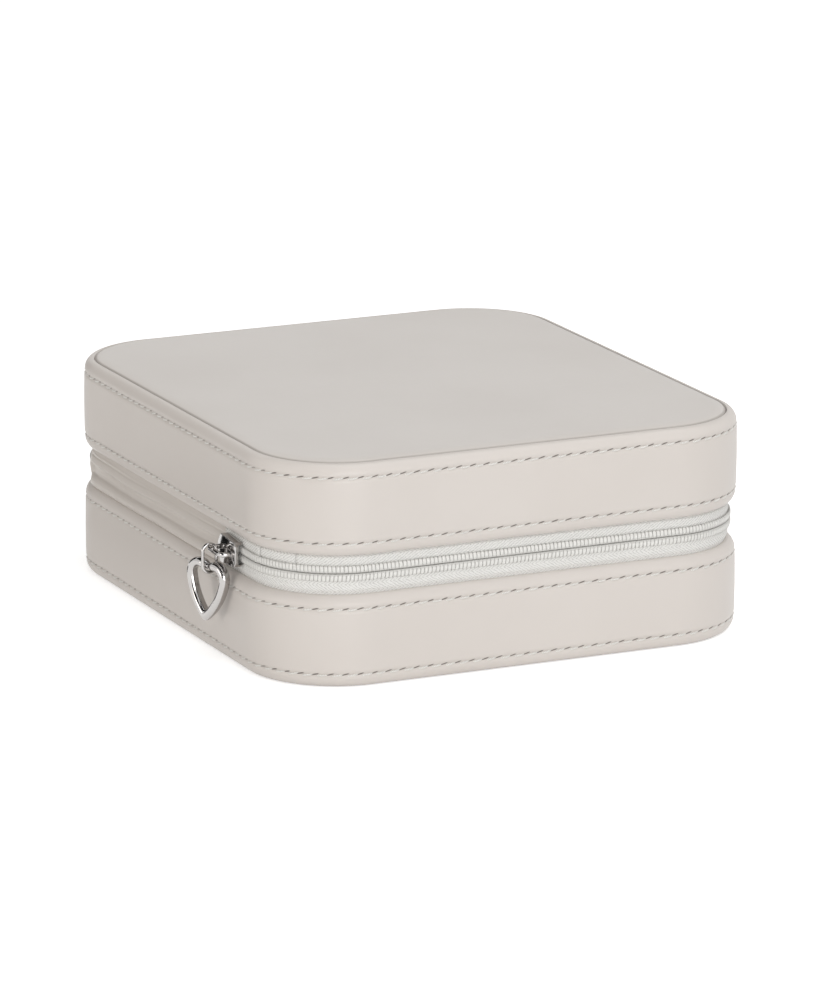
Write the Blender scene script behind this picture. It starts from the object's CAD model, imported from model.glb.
# %% [markdown]
# # A zip-around jewellery case
# Two shallow trays with rounded corners meet at a coil zip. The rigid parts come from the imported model, and
# this notebook dresses them: padded leather, stitches, woven tape, nylon coils, polished metal and a flocked
# inside. The frame is loaded first, because every later piece is placed by it.

# %% Load the measured frame
import math

import bmesh
import bpy
import numpy as np
from mathutils import Matrix, Vector


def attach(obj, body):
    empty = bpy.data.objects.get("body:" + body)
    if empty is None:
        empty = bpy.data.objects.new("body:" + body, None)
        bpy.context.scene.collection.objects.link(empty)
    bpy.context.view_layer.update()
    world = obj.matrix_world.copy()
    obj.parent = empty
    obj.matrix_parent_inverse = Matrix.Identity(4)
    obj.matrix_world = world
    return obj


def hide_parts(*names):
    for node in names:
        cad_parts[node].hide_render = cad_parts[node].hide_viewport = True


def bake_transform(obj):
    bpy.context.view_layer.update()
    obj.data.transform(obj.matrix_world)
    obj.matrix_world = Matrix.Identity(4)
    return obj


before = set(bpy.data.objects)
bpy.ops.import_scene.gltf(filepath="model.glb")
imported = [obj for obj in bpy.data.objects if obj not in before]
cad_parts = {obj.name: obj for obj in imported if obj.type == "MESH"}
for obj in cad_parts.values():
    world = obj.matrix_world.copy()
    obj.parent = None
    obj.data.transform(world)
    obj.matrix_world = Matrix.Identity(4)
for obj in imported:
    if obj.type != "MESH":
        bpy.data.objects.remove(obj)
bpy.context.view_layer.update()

# %% [markdown]
# ## The case's own sizes
# All the bands, tapes and coils follow one rounded outline, so a piece is described by three numbers: how
# far round it is, how deep behind the outer face it lies, and how high it stands. The function below turns
# the first of them into a place and a direction. It works on whole arrays, so a surface of a hundred
# thousand points takes one call.

# %% Follow the outline of the case
MM = 0.001
CASE_W = 140.0
CASE_D = 126.0
CORNER_R = 23.0
BAND_H = 22.0
LID_Z = 31.4
CHAIN_Z = 27.2
BAND_T = 2.4
TAPE_IN = 1.8
TAPE_T = 0.42
ROOM_IN = 5.9
FLOOR_Z = 3.8
CEILING_Z = 49.0
CORNER_ARC = CORNER_R * math.pi / 2
MIDDLE_X = CASE_W / 2 - CORNER_R
MIDDLE_Y = CASE_D / 2 - CORNER_R
# Lengths of the four stretches, each a corner and the side after it. They run counter-clockwise from the
# hinge-side corner at +X.
STRETCHES = np.array([CORNER_ARC + 2 * MIDDLE_X, CORNER_ARC + 2 * MIDDLE_Y] * 2)
STARTS = np.concatenate([[0.0], np.cumsum(STRETCHES)[:3]])
ALL_ROUND = float(STRETCHES.sum())


def around(length):
    """Place and outward direction at a length along the outer face.

    In a corner the direction turns by length over radius, and the place is the corner's middle plus the
    radius times the direction. After the corner the place moves on straight, at a right angle to the
    direction.
    """
    length = np.mod(np.asarray(length, float), ALL_ROUND)
    corner = np.clip(np.searchsorted(STARTS, length, side="right") - 1, 0, 3)
    along = length - STARTS[corner]
    turn = corner * math.pi / 2 + np.minimum(along, CORNER_ARC) / CORNER_R
    straight = np.maximum(along - CORNER_ARC, 0.0)
    out_x = np.cos(turn)
    out_y = np.sin(turn)
    x = np.array([1, -1, -1, 1])[corner] * MIDDLE_X + CORNER_R * out_x - straight * out_y
    y = np.array([1, 1, -1, -1])[corner] * MIDDLE_Y + CORNER_R * out_y + straight * out_x
    return x, y, out_x, out_y


def joined(x, y, z):
    """Points from their three coordinates, each repeated until all have one size."""
    return np.stack(np.broadcast_arrays(x, y, z), axis=-1)


def carried(inset, height, length):
    """Points at a depth behind the outer face and at a height: the place less the depth times the direction.
    """
    x, y, out_x, out_y = around(length)
    return joined(x - inset * out_x, y - inset * out_y, height)


def full_turn(steps):
    """Angles once round a circle at equal steps, without the last one, which would fall on the first."""
    return np.linspace(0, 2 * math.pi, steps, endpoint=False)


def squared_circle(turn, power):
    """Places on a rounded square: the size of a cosine and of a sine to the power of 2 over the given power.
    """
    places = []
    for wave in (np.cos(turn), np.sin(turn)):
        places.append(np.sign(wave) * np.abs(wave) ** (2 / power))
    return places


def bump_at(values, middle, width):
    """A smooth hump of height 1: e to the power of minus the squared distance from the middle over the
    width.
    """
    return np.exp(-(((values - middle) / width) ** 2))


print(f"once round the case is {ALL_ROUND:.1f} mm")

# %% [markdown]
# ## From arrays to meshes
# A surface here is a grid of points: rows run one way over it and columns the other. Neighbouring points
# make the four-sided faces. Where a grid closes on itself, the last row or column joins the first, so no
# seam is left open.

# %% Turn a grid of points into a piece
ROOT_COLLECTION = bpy.context.scene.collection
PIECES = {}


def grid_corners(rows, columns, close_rows, close_columns, stride):
    """For each face the numbers of its four points: row times stride plus column, and the same for its
    neighbours.
    """
    r, c = np.meshgrid(
        np.arange(rows if close_rows else rows - 1),
        np.arange(columns if close_columns else columns - 1),
        indexing="ij",
    )
    r, c = r.ravel(), c.ravel()
    next_r, next_c = r + 1, c + 1
    if stride == columns:
        next_r, next_c = next_r % rows, next_c % columns
    low, high = r * stride, next_r * stride
    return np.stack([low + c, low + next_c, high + next_c, high + c], axis=-1)


def turned_out(points, faces):
    """The faces, turned round if the shape's volume, a sum of triple products over them, comes out negative.
    """
    a, b, c, d = (points[faces[:, i]] for i in range(4))
    volume = (a * np.cross(b, c)).sum() + (a * np.cross(c, d)).sum()
    return faces[:, ::-1] if volume < 0 else faces


def new_piece(name, points, faces, corner_uv=None, smooth=True):
    """Puts arrays into a mesh object. Points are in millimetres, and corner_uv has one pair for each face
    corner.
    """
    mesh = bpy.data.meshes.new(name)
    count, sides = faces.shape
    mesh.vertices.add(len(points))
    mesh.vertices.foreach_set("co", (points * MM).astype(np.float32).ravel())
    mesh.loops.add(count * sides)
    mesh.loops.foreach_set("vertex_index", faces.astype(np.int32).ravel())
    mesh.polygons.add(count)
    mesh.polygons.foreach_set("loop_start", np.arange(count, dtype=np.int32) * sides)
    mesh.update(calc_edges=True)
    if corner_uv is not None:
        mesh.uv_layers.new(name="UVMap").data.foreach_set("uv", corner_uv.astype(np.float32).ravel())
    mesh.polygons.foreach_set("use_smooth", np.full(count, smooth))
    piece = bpy.data.objects.new(name, mesh)
    ROOT_COLLECTION.objects.link(piece)
    PIECES[name] = piece
    return piece


def grid_piece(name, points, u=None, v=None, close_rows=False, close_columns=False):
    """A piece from a grid of points. u belongs to the columns and v to the rows, both in metres for the UV
    map.
    """
    rows, columns = points.shape[:2]
    faces = grid_corners(rows, columns, close_rows, close_columns, columns)
    flat = points.reshape(-1, 3)
    kept = turned_out(flat, faces)
    corner_uv = None
    if u is not None:
        uv = np.stack(np.meshgrid(u, v), axis=-1).reshape(-1, 2)
        numbers = grid_corners(rows, columns, close_rows, close_columns, len(u))
        corner_uv = uv[numbers if kept is faces else numbers[:, ::-1]]
    return new_piece(name, flat, kept, corner_uv)


POLE_GAP = 0.01


def merged(piece):
    """Joins points that lie closer than the pole gap, such as those of a ring drawn in to a pole."""
    work = bmesh.new()
    work.from_mesh(piece.data)
    bmesh.ops.remove_doubles(work, verts=work.verts, dist=POLE_GAP * MM)
    work.to_mesh(piece.data)
    work.free()
    return piece


def finish_piece(piece, body, material, nodes=()):
    """Gives a piece its material and record slot, says which nodes it stands for, and sets it on its body.
    """
    piece.data.materials.clear()
    piece.data.materials.append(material)
    if nodes:
        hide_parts(*nodes)
    if body is not None:
        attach(piece, body)
    triangles = sum(len(face.vertices) - 2 for face in piece.data.polygons)
    print(f"{piece.name}: {triangles} triangles on {body or 'two bodies'}")
    return piece


# %% [markdown]
# ## Wiring materials
# A material is a tree of small nodes. These short helpers add a node and connect it in one line, and build
# the shared effects as node groups, each made once and placed in every material that shows it.

# %% Small helpers for node trees
def feed(tree, node, inputs):
    """Gives each input its value, or the output socket that feeds it."""
    for key, value in inputs.items():
        if isinstance(value, bpy.types.NodeSocket):
            tree.links.new(value, node.inputs[key])
        else:
            node.inputs[key].default_value = value
    return node


def add(tree, kind, inputs=None, **settings):
    """Adds one node with its settings, and feeds its inputs."""
    node = tree.nodes.new(kind)
    for name, value in settings.items():
        setattr(node, name, value)
    return feed(tree, node, inputs or {})


def maths(tree, operation, a, b=0.0, c=0.0):
    """One Math node's result."""
    return add(tree, "ShaderNodeMath", {0: a, 1: b, 2: c}, operation=operation).outputs[0]


def smooth_step(tree, value, low, high, to_low=0.0, to_high=1.0):
    """A value eased from to_low to to_high while it goes from low to high."""
    inputs = {"Value": value, "From Min": low, "From Max": high, "To Min": to_low, "To Max": to_high}
    return add(tree, "ShaderNodeMapRange", inputs, interpolation_type="SMOOTHSTEP").outputs["Result"]


def blended(tree, factor, first, second):
    """Two colours mixed by a factor."""
    return add(tree, "ShaderNodeMix", {0: factor, 6: first, 7: second}, data_type="RGBA").outputs[2]


def noise(tree, vector, scale, detail=3.0, roughness=0.5):
    """Soft random values from 0 to 1."""
    inputs = {"Vector": vector, "Scale": scale, "Detail": detail, "Roughness": roughness}
    return add(tree, "ShaderNodeTexNoise", inputs).outputs[0]


def new_group(name, inputs, outputs):
    """A node group with named sockets. Returns the tree, its input sockets, and its output node."""
    tree = bpy.data.node_groups.new(name, "ShaderNodeTree")
    for label, kind, value in inputs:
        socket = tree.interface.new_socket(name=label, in_out="INPUT", socket_type="NodeSocket" + kind)
        if value is not None:
            socket.default_value = value
    for label, kind in outputs:
        tree.interface.new_socket(name=label, in_out="OUTPUT", socket_type="NodeSocket" + kind)
    return tree, tree.nodes.new("NodeGroupInput").outputs, tree.nodes.new("NodeGroupOutput")


def place_group(tree, group, inputs):
    """The outputs of a node group that is placed in a tree and fed."""
    return add(tree, "ShaderNodeGroup", inputs, node_tree=group).outputs


def new_material(name, **shader_values):
    """A material with a Principled shader. Returns the material, its tree and its shader."""
    material = bpy.data.materials.new(name)
    material.use_nodes = True
    tree = material.node_tree
    tree.nodes.clear()
    output = tree.nodes.new("ShaderNodeOutputMaterial")
    shader = tree.nodes.new("ShaderNodeBsdfPrincipled")
    tree.links.new(shader.outputs[0], output.inputs[0])
    feed(tree, shader, {label.replace("_", " "): value for label, value in shader_values.items()})
    return material, tree, shader


def own_place(tree):
    """The point on the piece, in metres, from Object coordinates."""
    return add(tree, "ShaderNodeTexCoord").outputs["Object"]


def own_uv(tree):
    """The piece's own UV map, in metres."""
    return add(tree, "ShaderNodeUVMap", uv_map="UVMap").outputs[0]


def parts_of(tree, vector):
    """The three parts of a vector."""
    return add(tree, "ShaderNodeSeparateXYZ", {0: vector}).outputs


def raised(tree, shader, height, strength, distance, after=None):
    """Bump from a height, on top of another normal if one is given."""
    inputs = {"Height": height, "Strength": strength, "Distance": distance}
    if after is not None:
        inputs["Normal"] = after
    normal = add(tree, "ShaderNodeBump", inputs).outputs[0]
    feed(tree, shader, {"Normal": normal})
    return normal


# %% [markdown]
# ## Faux leather
# The case is covered in coated cloth: a smooth satin skin with a fine pebble grain and slow changes of tone.
# The grain group below mixes cells about 0.6 mm wide with finer noise, and gives a height and a soft tint. A
# second group draws the needle holes along a sewn row, and the strip of leather that the thread pulls down.

# %% Shared effects for the leather
def grain_group():
    """Height: cell distance and fine noise mixed. Tint: slow noise."""
    tree, given, out = new_group(
        "fine pebble grain",
        [("Vector", "Vector", None), ("Cells per metre", "Float", 1600.0)],
        [("Height", "Float"), ("Tint", "Float")],
    )
    cells = add(
        tree,
        "ShaderNodeTexVoronoi",
        {"Vector": given["Vector"], "Scale": given["Cells per metre"], "Smoothness": 0.6},
        feature="SMOOTH_F1",
    ).outputs["Distance"]
    fine = noise(tree, given["Vector"], 5200.0, 4.0, 0.6)
    pores = noise(tree, given["Vector"], 900.0, 2.0, 0.5)
    height = maths(tree, "MULTIPLY_ADD", cells, -0.5, maths(tree, "MULTIPLY_ADD", fine, 0.35, pores))
    slow = noise(tree, given["Vector"], 26.0, 3.0, 0.55)
    wide = noise(tree, given["Vector"], 9.0, 1.0, 0.5)
    tint = maths(tree, "MULTIPLY_ADD", slow, 0.55, maths(tree, "MULTIPLY", wide, 0.45))
    feed(tree, out, {"Height": height, "Tint": tint})
    return tree


STITCHES_ROUND = 138
STITCH_PITCH = ALL_ROUND / STITCHES_ROUND
ROW_IN = 3.15
SLIT_HALF_L = 1.0
SLIT_HALF_W = 0.17
SLIT_TAPER = 0.07
SLIT_SLOPE = 0.24
SLIT_LIFT = 0.11
PULL_REACH = 1.1


def holes_group():
    """Slanted slits at every stitch of a row: 1 where a slit is. Pull: 1 on the row, and nil a little way
    off.

    Along the row, the place in the pitch is the fraction of length over pitch, less a half. The slit is an
    ellipse that lies a little above the row and rises along it. Its width grows along the row, so that one
    end is sharp.
    """
    tree, given, out = new_group(
        "needle holes",
        [
            ("UV", "Vector", None),
            ("Row height", "Float", ROW_IN * MM),
            ("Pitch", "Float", STITCH_PITCH * MM),
        ],
        [("Slit", "Float"), ("Pull", "Float")],
    )
    parts = parts_of(tree, given["UV"])
    share = maths(tree, "FRACT", maths(tree, "DIVIDE", parts[0], given["Pitch"]))
    along = maths(tree, "MULTIPLY", maths(tree, "SUBTRACT", share, 0.5), given["Pitch"])
    across = maths(tree, "SUBTRACT", parts[1], given["Row height"])
    lifted = maths(tree, "SUBTRACT", across, SLIT_LIFT * MM)
    slanted = maths(tree, "MULTIPLY_ADD", along, -SLIT_SLOPE, lifted)
    half_width = maths(tree, "MULTIPLY_ADD", along, SLIT_TAPER, SLIT_HALF_W * MM)
    first = maths(tree, "DIVIDE", along, SLIT_HALF_L * MM)
    second = maths(tree, "DIVIDE", slanted, half_width)
    span = maths(tree, "ADD", maths(tree, "MULTIPLY", first, first), maths(tree, "MULTIPLY", second, second))
    slit = smooth_step(tree, span, 0.45, 1.25, 1.0, 0.0)
    pull = smooth_step(tree, maths(tree, "ABSOLUTE", across), 0.0, PULL_REACH * MM, 1.0, 0.0)
    feed(tree, out, {"Slit": slit, "Pull": pull})
    return tree


GRAIN = grain_group()
HOLES = holes_group()
print(f"one stitch every {STITCH_PITCH:.2f} mm, {STITCHES_ROUND} round the case")

# %% [markdown]
# The satin leather is made by one function, because the bands, the panels, the hinge strip and the tabs
# differ only in where their coordinates come from and in the rows that are sewn through them. Its colour is
# a pale warm grey.

# %% The satin leather
LEATHER = (0.665, 0.620, 0.582, 1.0)
LEATHER_DEEP = (0.588, 0.541, 0.500, 1.0)
HOLE_BROWN = (0.170, 0.150, 0.132, 1.0)
CREASE_BROWN = (0.330, 0.295, 0.265, 1.0)
CREASE_SPAN = (0.32, 0.85)
HINGE_SIDE = (60.5, 62.2)


def satin_leather(name, rows=(), grain_depth=0.00002, tone=(1.0, 1.0, 1.0), crease=False):
    """Pale leather with grain. rows are the heights of sewn rows above the UV map's lower edge, in metres.

    The needle holes are tighter, and so paler, on the hinge side. A crease is a darker line at the map's
    lower edge, where the leather dives into a groove and rubs dark.
    """
    material, tree, shader = new_material(
        name, IOR=1.46, Specular_IOR_Level=0.42, Coat_Roughness=0.32, Sheen_Weight=0.06, Sheen_Roughness=0.5
    )
    place = own_place(tree)
    grain = place_group(tree, GRAIN, {"Vector": place})
    light, deep = (tuple(a * b for a, b in zip(base, tone + (1.0,))) for base in (LEATHER, LEATHER_DEEP))
    colour = blended(tree, smooth_step(tree, grain["Tint"], 0.3, 0.7, 0.0, 0.35), light, deep)
    rough = smooth_step(tree, grain["Height"], 0.35, 1.1, 0.46, 0.38)
    coat = smooth_step(tree, grain["Tint"], 0.3, 0.7, 0.16, 0.08)
    if crease:
        edge = parts_of(tree, own_uv(tree))[1]
        rubbed = smooth_step(tree, edge, CREASE_SPAN[0] * MM, CREASE_SPAN[1] * MM, 0.62, 0.0)
        colour = blended(tree, rubbed, colour, CREASE_BROWN)
    slits = None
    if rows:
        uv = own_uv(tree)
        side = parts_of(tree, place)[1]
        shade = smooth_step(tree, side, HINGE_SIDE[0] * MM, HINGE_SIDE[1] * MM, 0.88, 0.36)
        for row in rows:
            holes = place_group(tree, HOLES, {"UV": uv, "Row height": row})
            colour = blended(tree, maths(tree, "MULTIPLY", holes["Pull"], 0.16), colour, deep)
            colour = blended(tree, maths(tree, "MULTIPLY", holes["Slit"], shade), colour, HOLE_BROWN)
            slits = holes["Slit"] if slits is None else maths(tree, "MAXIMUM", slits, holes["Slit"])
        rough = maths(tree, "MULTIPLY_ADD", slits, 0.35, rough)
    feed(tree, shader, {"Base Color": colour, "Roughness": rough, "Coat Weight": coat})
    normal = raised(tree, shader, grain["Height"], 0.5, grain_depth)
    if slits is not None:
        raised(tree, shader, maths(tree, "MULTIPLY", slits, -1.0), 0.8, 0.0004, normal)
    return material


BAND_LEATHER = satin_leather("leather, sewn bands", (ROW_IN * MM, (BAND_H - ROW_IN) * MM))
PANEL_LEATHER = satin_leather("leather, panels", tone=(0.99, 1.0, 1.0))
TOP_LEATHER = satin_leather("leather, top panel", tone=(0.99, 1.0, 1.005), crease=True)
STRIP_LEATHER = satin_leather("leather, hinge strip", grain_depth=0.000012, tone=(0.97, 0.97, 0.96))
TAB_LEATHER = satin_leather("leather, tabs", tone=(1.0, 0.98, 0.95))
print("leathers:", BAND_LEATHER.name, PANEL_LEATHER.name, STRIP_LEATHER.name, TAB_LEATHER.name)

# %% [markdown]
# ## The sewn thread
# The thread is spun from two yarns, so it shows fine twisted lines. Each stitch is a short bead, and its UV
# map runs along it, which lets one stripe pattern twist on every stitch the same way. The other cloths, the
# boards and the metal follow.

# %% Thread, tape, coil, flock, board and metal
THREAD_TWIST = 17000.0
RIB_SLOPE = 1.55
YARN_ACROSS = 0.52
YARN_ALONG = 0.35
LOCKED_SPAN = (0.3, 0.8)
NICKEL_GREY = (0.50, 0.485, 0.475, 1.0)


def thread_material():
    """White spun thread: slanted stripes across the UV map."""
    material, tree, shader = new_material("sewing thread", Roughness=0.62, Sheen_Weight=0.25)
    parts = parts_of(tree, own_uv(tree))
    across = maths(tree, "MULTIPLY", parts[1], 2 * math.pi)
    twist = maths(tree, "MULTIPLY_ADD", parts[0], THREAD_TWIST, across)
    stripe = maths(tree, "MULTIPLY_ADD", maths(tree, "SINE", twist), 0.5, 0.5)
    colour = blended(tree, stripe, (0.60, 0.58, 0.54, 1.0), (0.86, 0.85, 0.82, 1.0))
    feed(tree, shader, {"Base Color": colour})
    raised(tree, shader, stripe, 0.6, 0.00005)
    return material


def weave_group():
    """Herringbone: slanted ribs that change their slant from one stripe of the tape to the next.

    A triangle wave across the tape is taken from the place along it, and the fraction of the difference
    makes the ribs. Slow noise bends them a little. Two sine waves along each rib break it into single yarns.
    """
    tree, given, out = new_group(
        "herringbone weave",
        [("UV", "Vector", None), ("Rib", "Float", 0.00105), ("Stripe", "Float", 0.0019)],
        [("Height", "Float"), ("Gap", "Float"), ("Fleck", "Float")],
    )
    parts = parts_of(tree, given["UV"])
    bend = maths(tree, "MULTIPLY", noise(tree, given["UV"], 900.0, 2.0, 0.5), 0.0011)
    folded = maths(tree, "PINGPONG", parts[1], given["Stripe"])
    slanted = maths(tree, "MULTIPLY_ADD", folded, -RIB_SLOPE, maths(tree, "ADD", parts[0], bend))
    share = maths(tree, "FRACT", maths(tree, "DIVIDE", slanted, given["Rib"]))
    rib = maths(tree, "SINE", maths(tree, "MULTIPLY", share, math.pi))
    yarn_across = maths(tree, "SINE", maths(tree, "MULTIPLY", parts[1], 2 * math.pi / (YARN_ACROSS * MM)))
    yarn_along = maths(tree, "SINE", maths(tree, "MULTIPLY", slanted, 2 * math.pi / (YARN_ALONG * MM)))
    yarns = maths(tree, "MULTIPLY", yarn_along, yarn_across)
    height = maths(tree, "MULTIPLY_ADD", yarns, 0.30, rib)
    gap = smooth_step(tree, rib, 0.0, 0.7, 1.0, 0.0)
    fleck = smooth_step(tree, noise(tree, given["UV"], 2300.0, 2.0, 0.6), 0.50, 0.68)
    feed(tree, out, {"Height": height, "Gap": gap, "Fleck": fleck})
    return tree


WEAVE = weave_group()


def tape_material():
    """Ivory woven tape, with lighter flecks where a yarn stands up."""
    material, tree, shader = new_material("woven zip tape", Roughness=0.78, IOR=1.5, Sheen_Weight=0.15)
    weave = place_group(tree, WEAVE, {"UV": own_uv(tree)})
    fuzz = noise(tree, own_place(tree), 2600.0, 3.0, 0.6)
    colour = blended(tree, weave["Gap"], (0.800, 0.795, 0.770, 1.0), (0.545, 0.536, 0.512, 1.0))
    colour = blended(tree, maths(tree, "MULTIPLY", weave["Fleck"], 0.55), colour, (0.93, 0.92, 0.895, 1.0))
    feed(tree, shader, {"Base Color": colour})
    height = maths(tree, "MULTIPLY_ADD", fuzz, 0.4, weave["Height"])
    raised(tree, shader, maths(tree, "MULTIPLY_ADD", weave["Fleck"], 0.6, height), 0.5, 0.0001)
    return material


def coil_material():
    """Semi-gloss nylon filament, duller along the chain's middle, where the heads lock and the slider rubs.
    """
    material, tree, shader = new_material("nylon coil", Roughness=0.48, IOR=1.5)
    cloud = noise(tree, own_place(tree), 420.0, 2.0, 0.5)
    colour = blended(tree, cloud, (0.725, 0.717, 0.687, 1.0), (0.775, 0.767, 0.737, 1.0))
    height = parts_of(tree, own_place(tree))[2]
    off_centre = maths(tree, "ABSOLUTE", maths(tree, "SUBTRACT", height, CHAIN_Z * MM))
    locked = smooth_step(tree, off_centre, LOCKED_SPAN[0] * MM, LOCKED_SPAN[1] * MM, 0.75, 0.0)
    colour = blended(tree, locked, colour, (0.560, 0.550, 0.525, 1.0))
    feed(tree, shader, {"Base Color": colour, "Roughness": smooth_step(tree, cloud, 0.3, 0.7, 0.42, 0.54)})
    raised(tree, shader, noise(tree, own_place(tree), 3000.0, 2.0, 0.5), 0.2, 0.00002)
    return material


def flock_material(name, colour_low, colour_high, pile=0.00025):
    """Short velvet pile: fine specks, brushed patches and sheen."""
    material, tree, shader = new_material(
        name, Roughness=0.95, Specular_IOR_Level=0.2, Sheen_Weight=0.55, Sheen_Roughness=0.45
    )
    place = own_place(tree)
    speck = noise(tree, place, 4200.0, 4.0, 0.7)
    brushed = noise(tree, place, 38.0, 3.0, 0.6)
    mixed = maths(tree, "MULTIPLY_ADD", speck, 0.55, maths(tree, "MULTIPLY", brushed, 0.45))
    colour = blended(tree, smooth_step(tree, mixed, 0.3, 0.7), colour_low, colour_high)
    feed(tree, shader, {"Base Color": colour})
    raised(tree, shader, speck, 0.6, pile)
    return material


def board_material(name, base, fleck, scale=700.0):
    """Pressed grey board or foam: flecks of two tones and a dusty surface."""
    material, tree, shader = new_material(name, Roughness=0.9)
    place = own_place(tree)
    flecks = noise(tree, place, scale, 5.0, 0.7)
    feed(tree, shader, {"Base Color": blended(tree, smooth_step(tree, flecks, 0.4, 0.62), base, fleck)})
    raised(tree, shader, flecks, 0.5, 0.00015)
    return material


def metal_material(name, rough_low, rough_high):
    """Polished nickel plating with faint wiping marks and a slight cloud in its gloss."""
    material, tree, shader = new_material(name, Metallic=1.0, Base_Color=NICKEL_GREY)
    place = own_place(tree)
    cloud = noise(tree, place, 260.0, 3.0, 0.5)
    stretched = add(tree, "ShaderNodeMapping", {"Vector": place, "Scale": (1.0, 1.0, 9.0)}).outputs[0]
    marks = noise(tree, stretched, 2400.0, 2.0, 0.6)
    mixed = maths(tree, "MULTIPLY_ADD", marks, 0.4, maths(tree, "MULTIPLY", cloud, 0.6))
    feed(tree, shader, {"Roughness": smooth_step(tree, mixed, 0.35, 0.7, rough_low, rough_high)})
    raised(tree, shader, marks, 0.01, 0.00001)
    return material


THREAD = thread_material()
TAPE = tape_material()
COIL = coil_material()
FLOCK = flock_material("flocked lining", (0.50, 0.45, 0.385, 1.0), (0.66, 0.61, 0.54, 1.0))
SATEEN = flock_material("pocket cloth", (0.56, 0.51, 0.45, 1.0), (0.68, 0.63, 0.565, 1.0), 0.0001)
GREYBOARD = board_material("pressed greyboard", (0.36, 0.34, 0.31, 1.0), (0.46, 0.44, 0.41, 1.0))
RIM_BOARD = board_material("board under pale paper", (0.560, 0.525, 0.490, 1.0), (0.620, 0.588, 0.552, 1.0))
FOAM = board_material("open foam", (0.80, 0.79, 0.75, 1.0), (0.70, 0.69, 0.65, 1.0), 1500.0)
NICKEL = metal_material("polished nickel", 0.06, 0.13)
print("materials:", len(bpy.data.materials))

# %% [markdown]
# ## The padded bands
# Each tray is wrapped in a strip of leather over thin padding. Its edges are rolled in, and the two sewn
# rows pull it down into shallow grooves. A closed section of that shape is carried once round the outline,
# with slow random waves in its depth, because stretched leather is never quite flat.

# %% Carry the band's section round the case
def slow_waves(length, height, seed, reach):
    """Three sine waves round the case, each turning a little with the height, added and scaled to the reach.
    """
    source = np.random.default_rng(seed)
    total = 0.0
    for turns in (3, 7, 16):
        phase = source.uniform(0, 2 * math.pi)
        drift = source.uniform(-0.12, 0.12)
        total = total + np.sin(2 * math.pi * turns * length / ALL_ROUND + phase + drift * height)
    return reach * total / 3


ROLL_DEEP = 2.2
ROLL_TALL = 3.0
GROOVE = 0.26
GROOVE_WIDE = 0.55
BELLY = 0.12
BAND_WAVES = 0.07


def band_inset(height):
    """Depth behind the outer face: an elliptic roll at each edge, a groove at each row, and a slight belly
    between.
    """
    from_edge = np.minimum(height, BAND_H - height)
    rolled = np.clip(1 - from_edge / ROLL_TALL, 0, 1)
    roll = ROLL_DEEP * (1 - np.sqrt(np.maximum(1 - rolled**2, 0)))
    groove = GROOVE * bump_at(from_edge, ROW_IN, GROOVE_WIDE)
    belly = BELLY * np.clip((from_edge - ROW_IN) / (BAND_H / 2 - ROW_IN), 0, 1) ** 0.6
    return roll + groove - belly


def band_section():
    """Heights over the outer face, close together at the rolls and rows, and the section's closed line."""
    turn = np.linspace(0, math.pi / 2, 11)
    roll = ROLL_TALL * (1 - np.cos(turn))[:-1]
    near_row = np.arange(ROLL_TALL - 0.1, ROW_IN + 1.5, 0.22)
    half = np.unique(np.round(np.concatenate([roll, near_row]), 4))
    middle = np.linspace(half[-1] + 0.8, BAND_H - half[-1] - 0.8, 12)
    front = np.concatenate([half, middle, BAND_H - half[::-1]])
    back = np.linspace(BAND_H - 0.02, 0.02, 9)
    return front, back


def padded_band(name, low, seed):
    """The whole band, with u along the outline and v up the section."""
    front, back = band_section()
    length = np.linspace(0, ALL_ROUND, 760, endpoint=False)
    height = np.concatenate([front, back])[:, None]
    inset = np.concatenate([band_inset(front), np.full(len(back), BAND_T)])[:, None]
    free = np.clip(np.minimum(height, BAND_H - height) / 4, 0, 1)
    free[len(front) :] = 0
    inset = inset + free * slow_waves(length[None, :], height, seed, BAND_WAVES)
    points = carried(inset, low + height, length[None, :])
    v = np.concatenate([front, back, front[:1]]) * MM
    u = np.append(length, ALL_ROUND) * MM
    return grid_piece(name, points, u, v, close_rows=True, close_columns=True)


finish_piece(padded_band("base_leather_band", 0.0, 4), "base", BAND_LEATHER, ["base_outer_band"])
finish_piece(padded_band("lid_leather_band", LID_Z, 9), "lid", BAND_LEATHER, ["lid_outer_band"])

# %% [markdown]
# ## Four rows of stitches
# A machine stitch lies as a short thread on top of the leather, a little slanted, with both ends pulled down
# through needle holes. Each is a tapered bead with few faces, because there are 138 in each of the four
# rows. All beads of one tray are worked out in a single array and kept as one mesh.

# %% Sew the rows
BEAD_RINGS = 9
BEAD_SIDES = 6
BEAD_CAP = np.array([[0, 1, 2, 3], [0, 3, 4, 5]])
STITCH_HALF = 1.42
STITCH_SLANT = 0.22
STITCH_DROP = 0.13


def beads(middle, along, out, half, slant, radius=0.25, rise=0.30, dip=0.15):
    """Points of many stitches, from the middle, direction and outward side of each.

    A bead's line goes along its direction with a slant to the side, rises as one minus the square of its
    place, and its ends dip under the leather. A ring of its radius, which shrinks towards the ends, goes
    round that line.
    """
    t = np.linspace(-1, 1, BEAD_RINGS)[None, :, None, None]
    ring = full_turn(BEAD_SIDES)[None, None, :, None]
    side = np.cross(out, along)[:, None, None]
    thick = radius * np.sqrt(np.clip(1.04 - t**2, 0.02, 1))
    up = rise * (1 - t**2) - dip + 0.8 * thick * np.cos(ring)
    across = slant[:, None, None, None] * t + thick * np.sin(ring)
    line = middle[:, None, None] + half * t * along[:, None, None]
    return (line + across * side + up * out[:, None, None]).reshape(-1, 3)


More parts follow.
